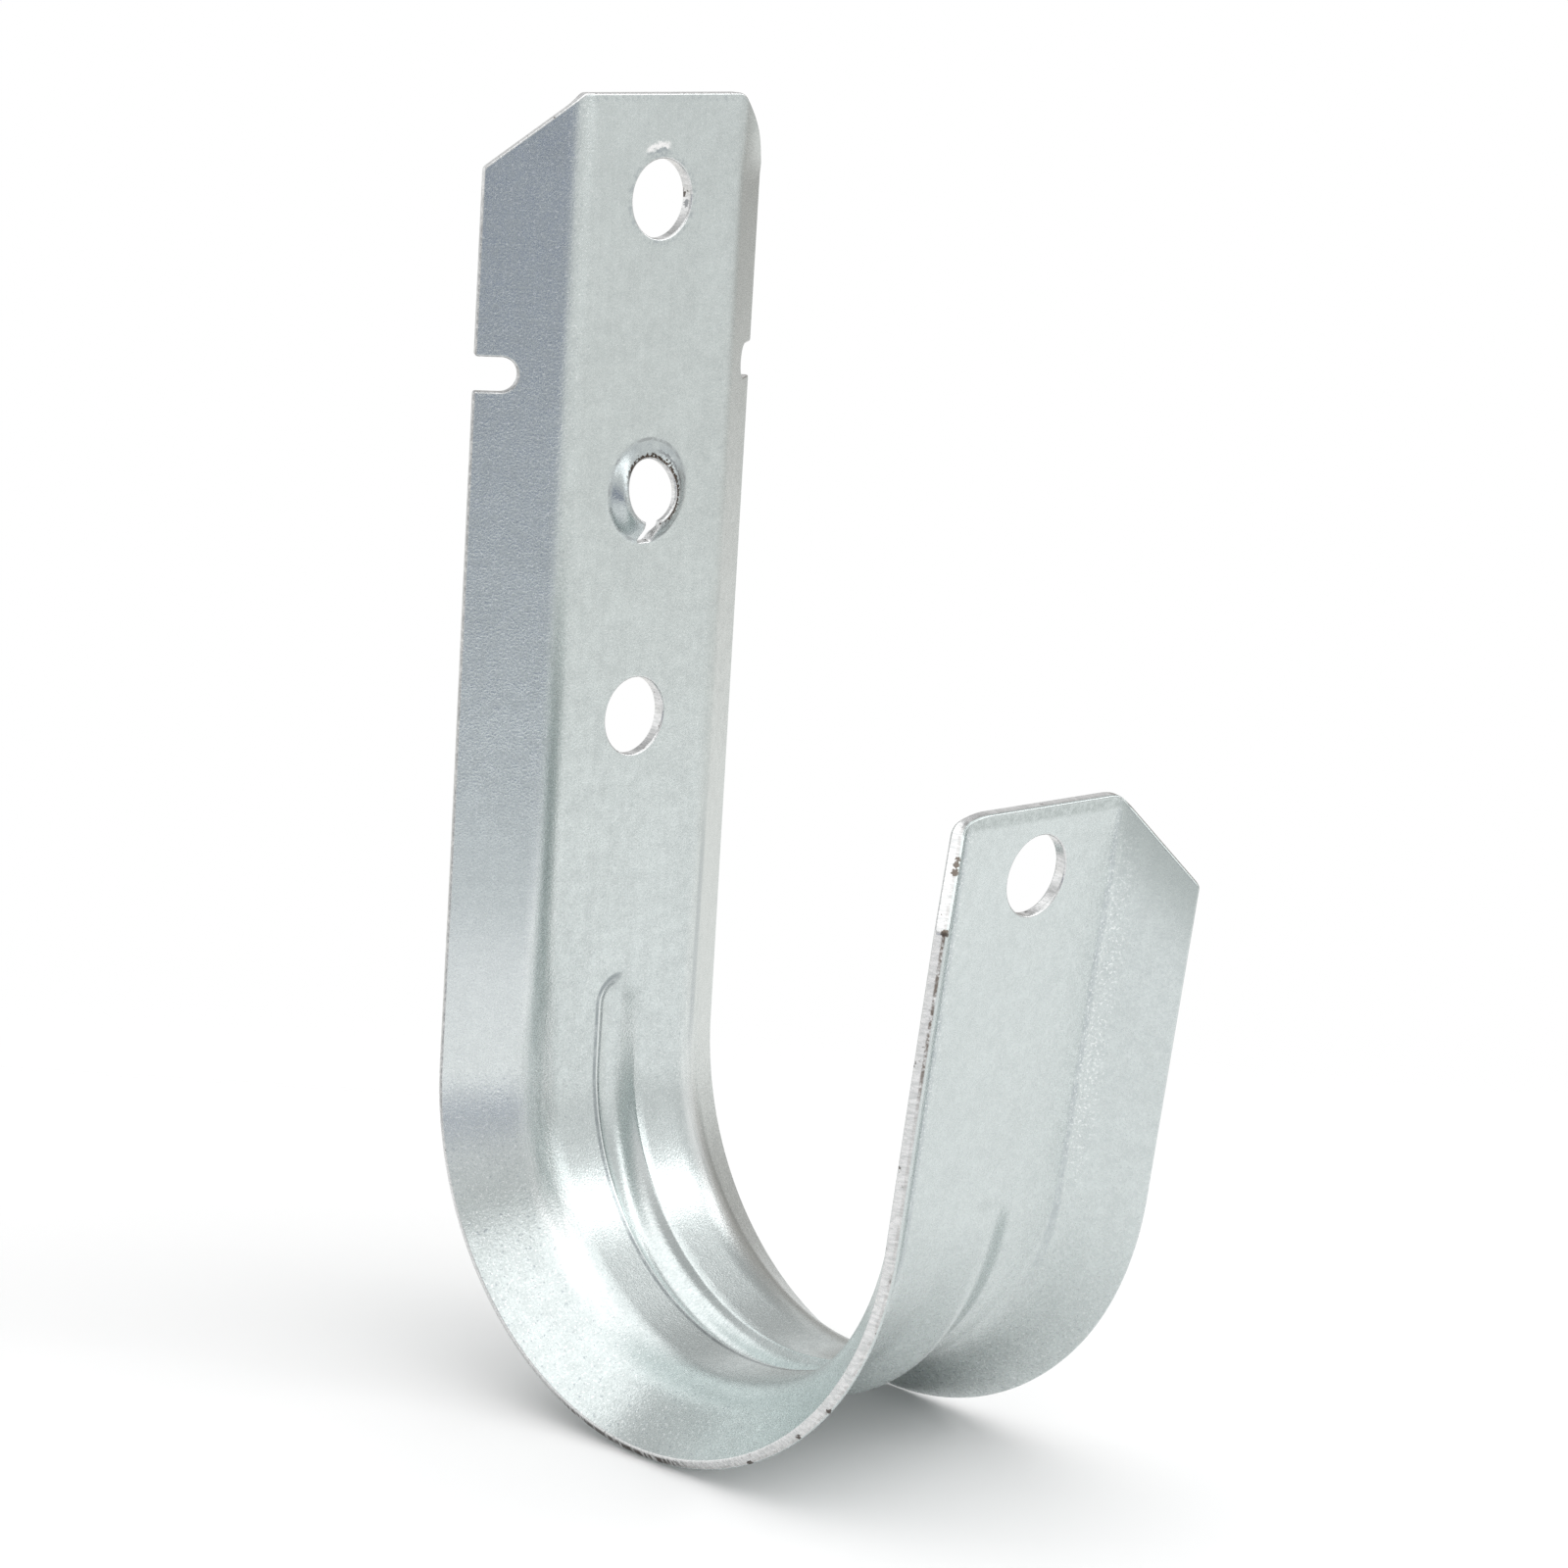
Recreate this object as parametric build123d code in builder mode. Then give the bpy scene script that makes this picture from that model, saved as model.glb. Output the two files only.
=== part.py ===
"""J hook cable support: one strip of zinc-coated sheet steel, folded into a flared channel and bent to a J.

Millimetres and degrees, +Z up, +X across the strip, +Y out of the back of the stem.
The origin is midway between the two fixing holes, on the back face of the stem.
"""

import os
from math import cos, radians, sin

from build123d import *

# Sheet and channel section, measured on the seat side
thickness = 1.2
web_width = 19.5
flange_length = 8.8
flange_angle = 34.0
fold_radius = 1.5

# Line of the J along the seat side of the web
stem_length = 88.6
seat_radius = 22.8
lip_length = 36.3
lip_lean = 6.2

# Clipped corners of the flanges, and notches in the stem's flanges
stem_clip_drop = 6.9
lip_clip_drop = 7.6
notch_drop = 25.0
notch_width = 3.1
notch_depth = 3.9

# Clearance holes
fixing_hole_diameter = 7.14
fixing_hole_spacing = 47.1
upper_hole_drop = 9.4
lip_hole_diameter = 7.14
lip_hole_drop = 6.2

# Raised screw impression, with its slit
screw_hole_diameter = 5.5
screw_hole_drop = 35.7
dimple_foot_diameter = 9.4
dimple_rim_diameter = 6.8
dimple_height = 0.9
dimple_radius = 0.6
dimple_border = 1.5
slit_width = 1.7
slit_reach = 4.6

# Stiffening bead, hollow on the seat side
bead_groove_radius = 2.5
bead_depth = 1.6
bead_stem_run = 5.1
bead_arc = 168.6

# Room for cutting tools beyond the surfaces that they cut
cut_margin = 2.0

# Heights and directions that follow from the sizes above
stem_top = upper_hole_drop + fixing_hole_spacing / 2
bend_height = stem_top - stem_length
bead_lift = bead_groove_radius - bead_depth
bead_ridge_radius = bead_groove_radius + thickness
flange_out = cos(radians(flange_angle))
flange_back = sin(radians(flange_angle))


def j_line(lift, stem_run, arc, lip_run):
    """Line of the J, lifted off the seat face towards the inside of the hook."""
    with BuildLine(Plane.YZ) as line:
        stem = Line((-thickness - lift, bend_height + stem_run), (-thickness - lift, bend_height))
        seat = JernArc(start=stem @ 1, tangent=stem % 1, radius=seat_radius - lift, arc_size=-arc)
        if lip_run:
            Line(seat @ 1, seat @ 1 + (seat % 1) * lip_run)
    return line.wire()


def cross_plane(path):
    """Plane across the start of a path, with its Y axis towards the inside of the hook."""
    return Plane(origin=path @ 0, x_dir=(1, 0, 0), z_dir=path % 0)


def round_bar(path, radius):
    """Bent round bar along a path, with a ball at each end."""
    with BuildPart() as bar:
        with BuildSketch(cross_plane(path)):
            Circle(radius)
        sweep(path=path)
        with Locations(path @ 0, path @ 1):
            Sphere(radius)
    return bar.part


def flange_plane(end, side):
    """Plane on a flange at a free end: X out from the fold line, Y into the strip."""
    out = end.x_dir * (side * flange_out) + end.z_dir * flange_back
    origin = end.from_local_coords((side * web_width / 2, 0, 0))
    return Plane(origin=origin, x_dir=out, z_dir=out.cross(end.y_dir))


# Lines of the seat face, of the middle of the sheet and of the bead's centre
seat_line = j_line(0, stem_length, 180 - lip_lean, lip_length)
middle_line = j_line(-thickness / 2, stem_length, 180 - lip_lean, lip_length)
bead_line = j_line(bead_lift, bead_stem_run, bead_arc, 0)

# Planes on the seat face at the two free ends: Y into the strip, Z through the sheet to its back
stem_end = Plane(origin=seat_line @ 0, x_dir=(1, 0, 0), z_dir=(0, 1, 0))
lip_end = Plane(
    origin=seat_line @ 1,
    x_dir=(-1, 0, 0),
    z_dir=Vector(1, 0, 0).cross(seat_line % 1),
)

# Outside of the bead, cut off at the middle of the sheet
with BuildPart() as bead_ridge:
    add(round_bar(bead_line, bead_ridge_radius))
    with BuildSketch(cross_plane(middle_line)):
        clear_height = bead_ridge_radius + bead_lift + cut_margin
        Rectangle(2 * clear_height, clear_height, align=(Align.CENTER, Align.MIN))
    sweep(path=middle_line, mode=Mode.SUBTRACT)

with BuildPart() as j_hook:
    # Flared channel along the J
    with BuildSketch(cross_plane(seat_line)):
        with BuildLine():
            flange_x = web_width / 2 + flange_length * flange_out
            flange_y = -flange_length * flange_back
            FilletPolyline(
                (-flange_x, flange_y),
                (-web_width / 2, 0),
                (web_width / 2, 0),
                (flange_x, flange_y),
                radius=fold_radius + thickness,
            )
            offset(amount=thickness, side=Side.RIGHT)
        make_face()
    sweep(path=seat_line)

    # Bead pressed out of the web
    add(bead_ridge.part)
    add(round_bar(bead_line, bead_groove_radius), mode=Mode.SUBTRACT)

    # Corners clipped from the fold line at each free end to the flange's edge
    for end, clip_drop in ((stem_end, stem_clip_drop), (lip_end, lip_clip_drop)):
        for side in (-1, 1):
            with BuildSketch(flange_plane(end, side)):
                with BuildLine():
                    run = Vector(flange_length, clip_drop).normalized() * cut_margin
                    inner = Vector(0, 0) - run
                    outer = Vector(flange_length, clip_drop) + run
                    Polyline(inner, outer, (outer.X, inner.Y), close=True)
                make_face()
            extrude(amount=thickness + cut_margin, both=True, mode=Mode.SUBTRACT)

    # Round-ended notches in the edges of the stem's flanges
    for side in (-1, 1):
        with BuildSketch(flange_plane(stem_end, side)):
            notch_end = flange_length - notch_depth + notch_width / 2
            with Locations((notch_end, notch_drop)):
                Circle(notch_width / 2)
                notch_run = notch_depth + cut_margin
                Rectangle(notch_run, notch_width, align=(Align.MIN, Align.CENTER))
        extrude(amount=thickness + cut_margin, both=True, mode=Mode.SUBTRACT)

    # Clearance holes in the stem and in the lip
    with BuildSketch(stem_end):
        with Locations((0, upper_hole_drop), (0, upper_hole_drop + fixing_hole_spacing)):
            Circle(fixing_hole_diameter / 2)
    extrude(amount=thickness + cut_margin, both=True, mode=Mode.SUBTRACT)
    with BuildSketch(lip_end):
        with Locations((0, lip_hole_drop)):
            Circle(lip_hole_diameter / 2)
    extrude(amount=thickness + cut_margin, both=True, mode=Mode.SUBTRACT)

    # Screw impression: the web is opened, and a raised ring of the same sheet goes in
    with BuildSketch(stem_end):
        with Locations((0, screw_hole_drop)):
            Circle(dimple_foot_diameter / 2 + dimple_border)
    extrude(amount=thickness + cut_margin, both=True, mode=Mode.SUBTRACT)
    screw_centre = stem_end.from_local_coords((0, screw_hole_drop, 0))
    with BuildSketch(Plane(origin=screw_centre, x_dir=(1, 0, 0), z_dir=(0, 0, -1))):
        with BuildLine():
            FilletPolyline(
                (dimple_foot_diameter / 2 + dimple_border, 0),
                (dimple_foot_diameter / 2, 0),
                (dimple_rim_diameter / 2, dimple_height),
                (screw_hole_diameter / 2, dimple_height),
                radius=(dimple_radius + thickness, dimple_radius + thickness),
            )
            offset(amount=thickness, side=Side.LEFT)
        make_face()
    revolve(axis=Axis(screw_centre, (0, 1, 0)))

    # Slit from the screw hole down to the foot of the ring
    with BuildSketch(stem_end):
        with Locations((0, screw_hole_drop)):
            Rectangle(slit_width, slit_reach, align=(Align.CENTER, Align.MIN))
    extrude(amount=thickness + cut_margin, both=True, mode=Mode.SUBTRACT)

j_hook.part.label = "j_hook"

os.makedirs("parts", exist_ok=True)
export_step(j_hook.part, "parts/j_hook.step")
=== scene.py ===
"""Looks of the j hook cable support: the folded sheet with its cut edges, bead and screw impression.

The hook is laid out on its flat strip, in mm: u across it, s along it from the top of the stem, and d into
the sheet from the seat face. The strip is then folded along both sides and bent to the J.
Right is the +X side and left is the -X side.
"""

import math

import bpy
import numpy as np
from mathutils import Euler, Matrix, Vector
from mathutils.geometry import delaunay_2d_cdt


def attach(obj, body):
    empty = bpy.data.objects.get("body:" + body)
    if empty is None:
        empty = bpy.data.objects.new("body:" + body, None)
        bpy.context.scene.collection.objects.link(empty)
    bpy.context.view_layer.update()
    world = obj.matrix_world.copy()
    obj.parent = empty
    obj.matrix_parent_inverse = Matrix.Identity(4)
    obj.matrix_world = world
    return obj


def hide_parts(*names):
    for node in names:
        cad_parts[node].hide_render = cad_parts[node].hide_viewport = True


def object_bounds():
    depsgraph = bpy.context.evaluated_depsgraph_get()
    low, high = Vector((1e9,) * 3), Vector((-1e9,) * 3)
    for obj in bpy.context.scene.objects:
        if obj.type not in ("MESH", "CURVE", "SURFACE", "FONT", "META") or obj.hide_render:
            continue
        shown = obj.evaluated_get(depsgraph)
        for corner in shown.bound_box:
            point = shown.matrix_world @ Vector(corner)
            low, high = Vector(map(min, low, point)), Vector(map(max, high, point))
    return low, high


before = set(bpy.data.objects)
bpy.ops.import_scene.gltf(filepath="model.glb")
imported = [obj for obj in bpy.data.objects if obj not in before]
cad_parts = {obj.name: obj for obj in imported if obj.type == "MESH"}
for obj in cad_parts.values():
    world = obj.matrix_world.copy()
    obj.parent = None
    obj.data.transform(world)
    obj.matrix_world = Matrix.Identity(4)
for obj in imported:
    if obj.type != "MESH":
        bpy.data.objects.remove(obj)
cad_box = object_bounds()

MM = 0.001

# Sheet and section, on the seat side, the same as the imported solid
THICK = 1.2
WEB = 19.5
FLANGE = 8.8
FLANGE_TURN = math.radians(34.0)
FOLD = 2.7
FOLD_SETBACK = FOLD * math.tan(FLANGE_TURN / 2)
WEB_FLAT = WEB / 2 - FOLD_SETBACK
FOLD_RUN = FOLD * FLANGE_TURN
EDGE = WEB_FLAT + FOLD_RUN + FLANGE - FOLD_SETBACK

# Line of the J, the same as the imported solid
STEM = 88.6
SEAT = 22.8
LIP = 36.3
LIP_LEAN = 6.2
BEND = math.radians(180.0 - LIP_LEAN)
BEND_END = STEM + SEAT * BEND
TOTAL = BEND_END + LIP
UPPER_HOLE_AT = 9.4
HOLE_SPACING = 47.1
BEND_Y = -THICK - SEAT
BEND_Z = UPPER_HOLE_AT + HOLE_SPACING / 2 - STEM

# Folds: softer than the solid's on the stem, softer still in the bend, and as tight as the solid's on the lip
FOLD_SOFT = 2.0
FOLD_SOFTER = 4.5
FOLD_OPENS = STEM - 22.0
FOLD_OPENING = 26.0
FOLD_CLOSES = BEND_END - 14.0
FOLD_CLOSING = 16.0

# On the lip the flanges close more and the web is wider; the right flange opens at the top of the stem
LIP_TURN = math.radians(6.0)
LIP_WIDER = 0.6
END_OPEN = math.radians(12.0)
END_RUN = 8.0

# Cuts in the flat strip
ROOT = WEB_FLAT + FOLD_RUN / 2
LIP_ROOT_SHARE = 0.7
LIP_ROOT = ROOT + LIP_ROOT_SHARE * LIP_WIDER
STEM_CLIP = 6.9
LIP_CLIP = 7.6
NOTCH_AT = 25.0
NOTCH_HALF = 1.55
NOTCH_DEEP = 3.9
HOLE = 3.57
LIP_HOLE_DROP = 6.2
HOLES_AT = (UPPER_HOLE_AT, UPPER_HOLE_AT + HOLE_SPACING, TOTAL - LIP_HOLE_DROP)
SCREW_AT = 35.7
SCREW_HOLE = 2.85
SLIT_HALF = 0.85
SLIT_REACH = 4.7

# Radii of the corners of the cuts
STEM_CORNER_RIGHT = 2.5
STEM_CORNER_LEFT = 1.0
LIP_CORNER_RIGHT = 5.5
LIP_CORNER_LEFT = 9.0
FLANGE_CORNER = 0.6
NOTCH_CORNER = 0.25
SLIT_CORNER = 0.3

# Raised ring of the screw impression, tilted, with its rim thinned from behind
RING_FOOT = 4.95
RING_TOP = 3.1
RING_CORE = 0.5
RING_RISE = 0.71
RING_TILT = 0.57
RING_ARCH = 0.14
RIM_THIN = 0.5
RIM_THIN_FROM = 4.35
RIM_THIN_RUN = 1.3

# Bead: a groove with soft edges, gentler on its right near the stem, and shallow at both ends
BEAD_STEM_RUN = 5.1
BEAD_ARC = math.radians(168.6)
BEAD_START = STEM - BEAD_STEM_RUN
BEAD_END = STEM + SEAT * BEAD_ARC
GROOVE = 2.5
BEAD_LIFT = 0.9
BEAD_DEPTH = GROOVE - BEAD_LIFT
GROOVE_FALL = 3.0
GROOVE_SOFT = 0.1
GROOVE_SOFTER = 0.4
GROOVE_REACH = 3.4
GROOVE_RIGHT_FROM = -1.0
GROOVE_RIGHT_RUN = 2.5
GENTLE_LOSS = 0.85
RIDGE_REACH = 4.2
GROOVE_SHALLOW = 0.3
RIDGE_SHALLOW = 0.45
BEAD_STEM_RUNOUT = 26.0
BEAD_LIP_RUNOUT = 20.0

# Rounding of the cut edges, and rows down the wall between
ROUND = 0.2
ROUND_STEPS = 3
WALL_ROWS = (0.3, 0.5, 0.7)

# Fineness of the mesh: stretches as start, end and step, then counts of steps and lengths
GRID_ACROSS = ((0.0, 2.0, 0.28), (2.0, 2.7, 0.1), (2.8, 4.2, 0.28), (4.4, 6.6, 0.7), (6.9, 12.3, 0.27))
GRID_STEM = (
    (0.8, SCREW_AT - 6.0, 1.1),
    (SCREW_AT - 6.0, SCREW_AT + 6.0, 0.28),
    (SCREW_AT + 6.0, BEAD_START - 4.0, 1.1),
    (BEAD_START - 4.0, STEM, 0.28),
)
GRID_LIP = ((BEND_END + 0.6, TOTAL - 0.5, 1.0),)
GRID_FLANGE_FROM = 12.6
GRID_FLANGE_STEPS = 8
GRID_BEND_STEPS = 131
GRID_GAP = 0.22
GAP_BATCH = 2000
ARC_STEP = 0.12
ARC_LEAST_STEPS = 3
NOTCH_STEPS = 24
HOLE_STEPS = 96
SCREW_STEPS = 90
OUTLINE_STEP = 0.6
SCREW_STEP = 0.3
SLOPE_STEP = 0.02
MITRE_LEAST = 0.5

# How much the zinc coat is broken up on each part of the strip
WORK_WEB = 0.3
WORK_LIP_LESS = 0.1
WORK_FLANGE = 0.35
WORK_FLANGE_RUN = 1.5
WORK_FLANGE_LIP_LESS = 0.6
WORK_BEND = 0.3
WORK_FOLD = 0.35
WORK_FOLD_BEND = 0.15
WORK_FOLD_REACH = 1.3

# Colours of the zinc coat and of the cut edges
GRAIN_DARK = (0.53, 0.58, 0.575, 1.0)
GRAIN_PALE = (0.625, 0.67, 0.665, 1.0)
GRAIN_MEAN = (0.578, 0.625, 0.62, 1.0)
EDGE_DARK = (0.55, 0.56, 0.56, 1.0)
EDGE_PALE = (0.75, 0.75, 0.75, 1.0)
TORN = (0.20, 0.175, 0.155, 1.0)
SPECK = (0.07, 0.055, 0.045, 1.0)
# Flecks in the coat, and a painted highlight line by the bead
FLECK_AND_HIGHLIGHT = (0.78, 0.81, 0.81, 1.0)
# Pits in the coat and dirt, and painted shade on the folds and round the upper hole
PIT_AND_SHADE = (0.38, 0.42, 0.44, 1.0)
# Dark pits, dirt and spots, and painted shade round the screw impression's ring
PIT_DARK_AND_SHADE = (0.22, 0.23, 0.24, 1.0)
# Painted shade in the bead's creases and at its tip
CREASE_SHADE = (0.28, 0.31, 0.32, 1.0)
SHADE = (0.38, 0.42, 0.41, 1.0)
RUST = (0.12, 0.095, 0.075, 1.0)
# Burnished flecks and rubbing, and painted highlights in the bend
BURNISH_AND_HIGHLIGHT = (0.84, 0.87, 0.865, 1.0)
# The punch's mark, and a painted highlight on the left fold
PUNCHED_AND_HIGHLIGHT = (0.95, 0.95, 0.95, 1.0)

# Noise over the flat strip: features per mm, octaves, roughness and, where it is drawn out, stretch
GRAIN_NOISE = (4.6, 2.0, 0.6)
MOTTLE_NOISE = (0.8, 4.0, 0.65)
CLOUD_NOISE = (0.2, 3.0, 0.6)
ROLL_NOISE = (1.6, 2.0, 0.5, (1.0, 0.05, 1.0))
FLECK_NOISE = (3.3, 2.0, 0.7)
PIT_NOISE = (2.4, 3.0, 0.75)
DOT_NOISE = (1.4, 4.0, 0.8)
STREAK_NOISE = (2.2, 3.0, 0.6, (1.0, 0.12, 1.0))
JAG_NOISE = (3.2, 2.0, 0.6)
TORN_NOISE = (1.7, 4.0, 0.75)
SHEAR_NOISE = (5.0, 3.0, 0.6, (1.0, 1.0, 0.25))
DASH_NOISE = (2.8, 2.0, 0.6, (0.2, 1.0, 0.12))
SPECK_NOISE = (1.1, 4.0, 0.7)

# Values of a noise between which a mark comes in
WIDE = (0.25, 0.75)
MIDDLE = (0.3, 0.7)
FLECK_LEVELS = (0.56, 0.68)
PIT_LEVELS = (0.57, 0.69)
DOT_LEVELS = (0.69, 0.75)
LIP_FLECK_LEVELS = (0.56, 0.635)
STREAK_LEVELS = (0.3, 0.65)
CREASE_LEVELS = (0.3, 0.6)
FOOT_LEVELS = (0.38, 0.6)
ARC_LEVELS = (0.3, 0.5)
UNDER_LEVELS = (0.35, 0.6)
TOP_DIRT_LEVELS = (0.5, 0.62)
LIP_END_DARK_LEVELS = (0.4, 0.6)
HOLE_SHADE_LEVELS = (0.45, 0.6)
TEAR_LEVELS = (0.38, 0.58)
SIDE_DIRT_LEVELS = (0.35, 0.6)
DASH_LEVELS = (0.43, 0.52)
SPECK_LEVELS = (0.63, 0.70)
ROUGH_GRAIN_LEVELS = (0.2, 0.8)

# Tone of the coat over its noises, and where the coat is calmer
MOTTLE_TONE = (0.95, 1.045)
CLOUD_TONE = (0.97, 1.03)
ROLL_TONE = (0.985, 1.012)
DOT_STRENGTH = 0.6
CALM_FLANGE_SIDE = (9.0, 11.0)
CALM_FLANGE_ALONG = (STEM - 30.0, STEM - 18.0, STEM - 4.0, STEM + 4.0)
CALM_LIP_ALONG = (BEND_END - 24.0, BEND_END - 8.0)
CALM_LIP = 0.75
CALM = 0.6
SHEET_MIDDLE = (0.5, 0.7)

# Part of a band's half-width where it is full
BAND_CORE = 0.3

# Marks on the back of the lip: a dark line of painted shade and flecks on the folds, and painted shade at the
# right clipped corner
LIP_FOLD_BAND = (9.9, 0.9)
LIP_FOLD_ALONG = (BEND_END - 12.0, BEND_END)
LIP_FOLD_STRENGTH = (0.7, 0.25)
LIP_FLECK_BAND = (10.9, 2.6)
LIP_FLECK_ALONG = (BEND_END - 4.0, BEND_END + 8.0)
LIP_FLECK_STRENGTH = 0.85
CLIP_SLOPE = LIP_CLIP / (EDGE - WEB / 2)
CLIP_LINE = TOTAL + WEB / 2 * CLIP_SLOPE
CLIP_SHADE = (CLIP_LINE - 9.0, CLIP_LINE + 0.5)
CLIP_SHADE_ACROSS = (9.2, 10.6)
CLIP_SHADE_STRENGTH = 0.85

# Painted highlights on the seat side of the bend, over real rubbing on the folds, and painted shade on the
# right fold; four numbers say where one starts, is full, fades and ends
RUBBED_HIGHLIGHT_FOLD_BAND = (9.9, 2.0)
RUBBED_HIGHLIGHT_FOLD_ALONG = (STEM - 32.0, STEM - 3.0, STEM + 14.0, STEM + 30.0)
RUBBED_HIGHLIGHT_FOLD_STRENGTH = (0.45, 1.0)
RUBBED_HIGHLIGHT_LEFT = (0.0, -1.0)
RUBBED_HIGHLIGHT_RIGHT_ALONG = (STEM - 2.0, STEM + 8.0)
RUBBED_HIGHLIGHT_RIGHT = (0.3, 1.0)
LEFT_FOLD_BAND = (-9.4, 1.9)
LEFT_FOLD_ALONG = (STEM - 8.0, STEM + 2.0, STEM + 2.0, STEM + 10.0)
LEFT_FOLD_STRENGTH = (0.3, 0.7)
LEFT_FLANGE_ACROSS = (-9.5, -11.0)
LEFT_FLANGE_ALONG = (STEM - 18.0, STEM - 8.0, STEM + 2.0, STEM + 12.0)
LEFT_FLANGE_STRENGTH = 0.4
GROOVE_WALL_BAND = (1.7, 1.3)
GROOVE_WALL_ALONG = (BEAD_START - 1.0, BEAD_START + 4.0, STEM + 10.0, STEM + 22.0)
GROOVE_WALL_STRENGTH = 0.45
RIGHT_FOLD_BAND = (10.1, 0.7)
RIGHT_FOLD_ALONG = (STEM - 26.0, STEM - 16.0, STEM - 4.0, STEM + 4.0)
RIGHT_FOLD_STRENGTH = 0.5

# Painted shade in the creases of the bead and at its tip, and a painted highlight line between the creases,
# by their distance from its middle
CREASE_OUTER_BAND = (2.72, 0.3)
CREASE_INNER_BAND = (1.95, 0.3)
CREASE_BROKEN = (0.5, 1.0)
CREASE_STRENGTH = 0.9
CREASE_ACROSS = (0.2, -0.8)
CREASE_END = (BEAD_END - 4.0, BEAD_END)
HIGHLIGHT_LINE_BAND = (2.35, 0.22)
HIGHLIGHT_LINE_STRENGTH = 0.6
TIP_BAND = (2.5, 0.5)
TIP_PAST = (0.8, 2.0)
TIP_ACROSS = (0.6, -0.3)
TIP_STRENGTH = 0.7

# Marks of the screw impression, by their distance from its middle: darker over the ring, painted shade at its
# foot and on its right side, and a jagged burr at its rim
RING_DARK_REACH = (RING_FOOT + 0.2, RING_FOOT - 0.6)
RING_DARK_STRENGTH = (0.6, 0.2)
FOOT_BAND = (RING_FOOT - 0.25, 0.24)
FOOT_STRENGTH = 0.55
RIM_LINE_BAND = (3.75, 0.2)
RIM_LINE_JAG = (-0.12, 0.12)
RIM_LINE_ACROSS = (0.5, 2.2)
RIM_LINE_STRENGTH = 0.8
BURR_REACH = (SCREW_HOLE + 0.38, SCREW_HOLE + 0.52)
BURR_JAG = (0.3, -0.3)
BURR_UPPER = (SCREW_AT + 2.6, SCREW_AT + 0.2)
BURR_UPPER_STRENGTH = (0.25, 1.0)
BURR_DEPTH = (0.8, 1.1)
BURR_DEPTH_STRENGTH = (1.0, 0.25)

# Mark of the punch above the upper hole, dirt at the top of the strip, darker along the end of the lip, and
# painted shade of the rollover round that hole
PUNCH_ALONG = (UPPER_HOLE_AT - 3.6, UPPER_HOLE_AT - 4.2)
PUNCH_ACROSS = (-2.6, -1.8, 0.2, 0.9)
PUNCH_WANDER = (-0.2, 0.2)
ARC_BAND = (4.8, 0.42)
ARC_STRENGTH = (0.5, 1.0)
UNDER_BAND = (4.3, 0.32)
UNDER_STRENGTH = (0.4, 1.0)
TOP_DIRT_BAND = (0.5, 0.35)
TOP_DIRT_STRENGTH = 0.6
LIP_END_DARK_BAND = (TOTAL - 0.7, 0.8)
LIP_END_DARK_STRENGTH = (0.3, 0.8)
HOLE_SHADE_BAND = (HOLE + 0.35, 0.45)
HOLE_SHADE_STRENGTH = 0.6

# Marks on the cut edges: torn most on the lip, dirt on the left of the stem and dashes low in the bend
TEAR_BAND = (0.84, 0.24)
TEAR_FROM = (TOTAL - 26.0, TOTAL - 19.0)
TEAR_TO = (TOTAL - 8.0, TOTAL - 7.0)
TEAR_LEAST = 0.3
LEFT_EDGE = (-5.0, -6.0)
SIDE_DIRT_ALONG = (8.0, 10.0, STEM + 2.0, STEM + 8.0)
SIDE_DIRT_STRENGTH = (0.15, 0.75)
DASH_ALONG = (115.0, 117.0, 127.0, 130.0)
DASH_DEPTH = (0.15, 0.4)
COATED_DEPTH = (0.92, 1.02)

# Small dark spots on cut edges: u, s, depth, radius and colour
SPOTS = (
    (3.55, 9.1, 1.05, 0.36, SPECK),
    (3.5, 9.9, 0.55, 0.4, PIT_DARK_AND_SHADE),
    (-18.5, 144.6, 0.9, 0.3, SPECK),
    (-18.5, 141.0, 0.8, 0.26, SPECK),
    (-18.5, 135.5, 1.0, 0.34, SPECK),
    (-13.2, 191.3, 0.95, 0.26, RUST),
    (-13.7, 190.9, 0.9, 0.34, RUST),
    (-14.2, 190.4, 0.9, 0.4, RUST),
    (-18.4, 186.4, 0.85, 0.4, RUST),
)
SPOT_JAG = (-0.1, 0.1)
SPOT_CORE = 0.7
SPOT_STRENGTH = 0.9

# Roughness over the mottling and the grain, and the bump in metres with its shares
ROUGH_MOTTLE = (0.29, 0.25)
ROUGH_GRAIN = (0.03, -0.03)
BUMP = 0.000017
BUMP_MOTTLE = 0.6
BUMP_FLECK = 0.2
BUMP_PIT = 0.25

# Floor, in metres: solid round the object, then fading into the white background, sooner at the back
FLOOR_COLOUR = (0.91, 0.91, 0.91, 1.0)
FLOOR_ROUGH = 0.9
FLOOR_MIDDLE_Y = -0.05
FLOOR_FADE = (0.17, 0.33)
FLOOR_BACK_FADE = (0.04, 0.16)
FLOOR_GAP = 0.0003
FLOOR_SIDES = 96

# Studio walls: a colour, the way towards it, and the cosines or rises between which it comes in
UP = (0.0, 0.0, 1.0)
BACK_WAY = (0.717, 0.697, 0.0)
BEHIND_WAY = (0.0, 1.0, 0.0)
PALE = (0.82, 0.82, 0.82, 1.0)
WARM = (0.36, 0.34, 0.32, 1.0)
WARM_WAY = (0.92, 0.39, 0.0)
WARM_SPREAD = (0.75, 0.97)
BRIGHT = (1.25, 1.25, 1.25, 1.0)
BRIGHT_WAY = (-0.5, 0.866, 0.0)
BRIGHT_SPREAD = (0.5, 0.8)
GROUND = (1.0, 0.99, 0.965, 1.0)
GROUND_RISE = (-0.22, -0.02)
DIM = (0.06, 0.10, 0.24, 1.0)
DIM_WAY = (-0.54, -0.842, 0.0)
DIM_SPREAD = (0.87, 0.97)
DIM_RISE = (-0.22, -0.13, -0.04, 0.12)
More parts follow.
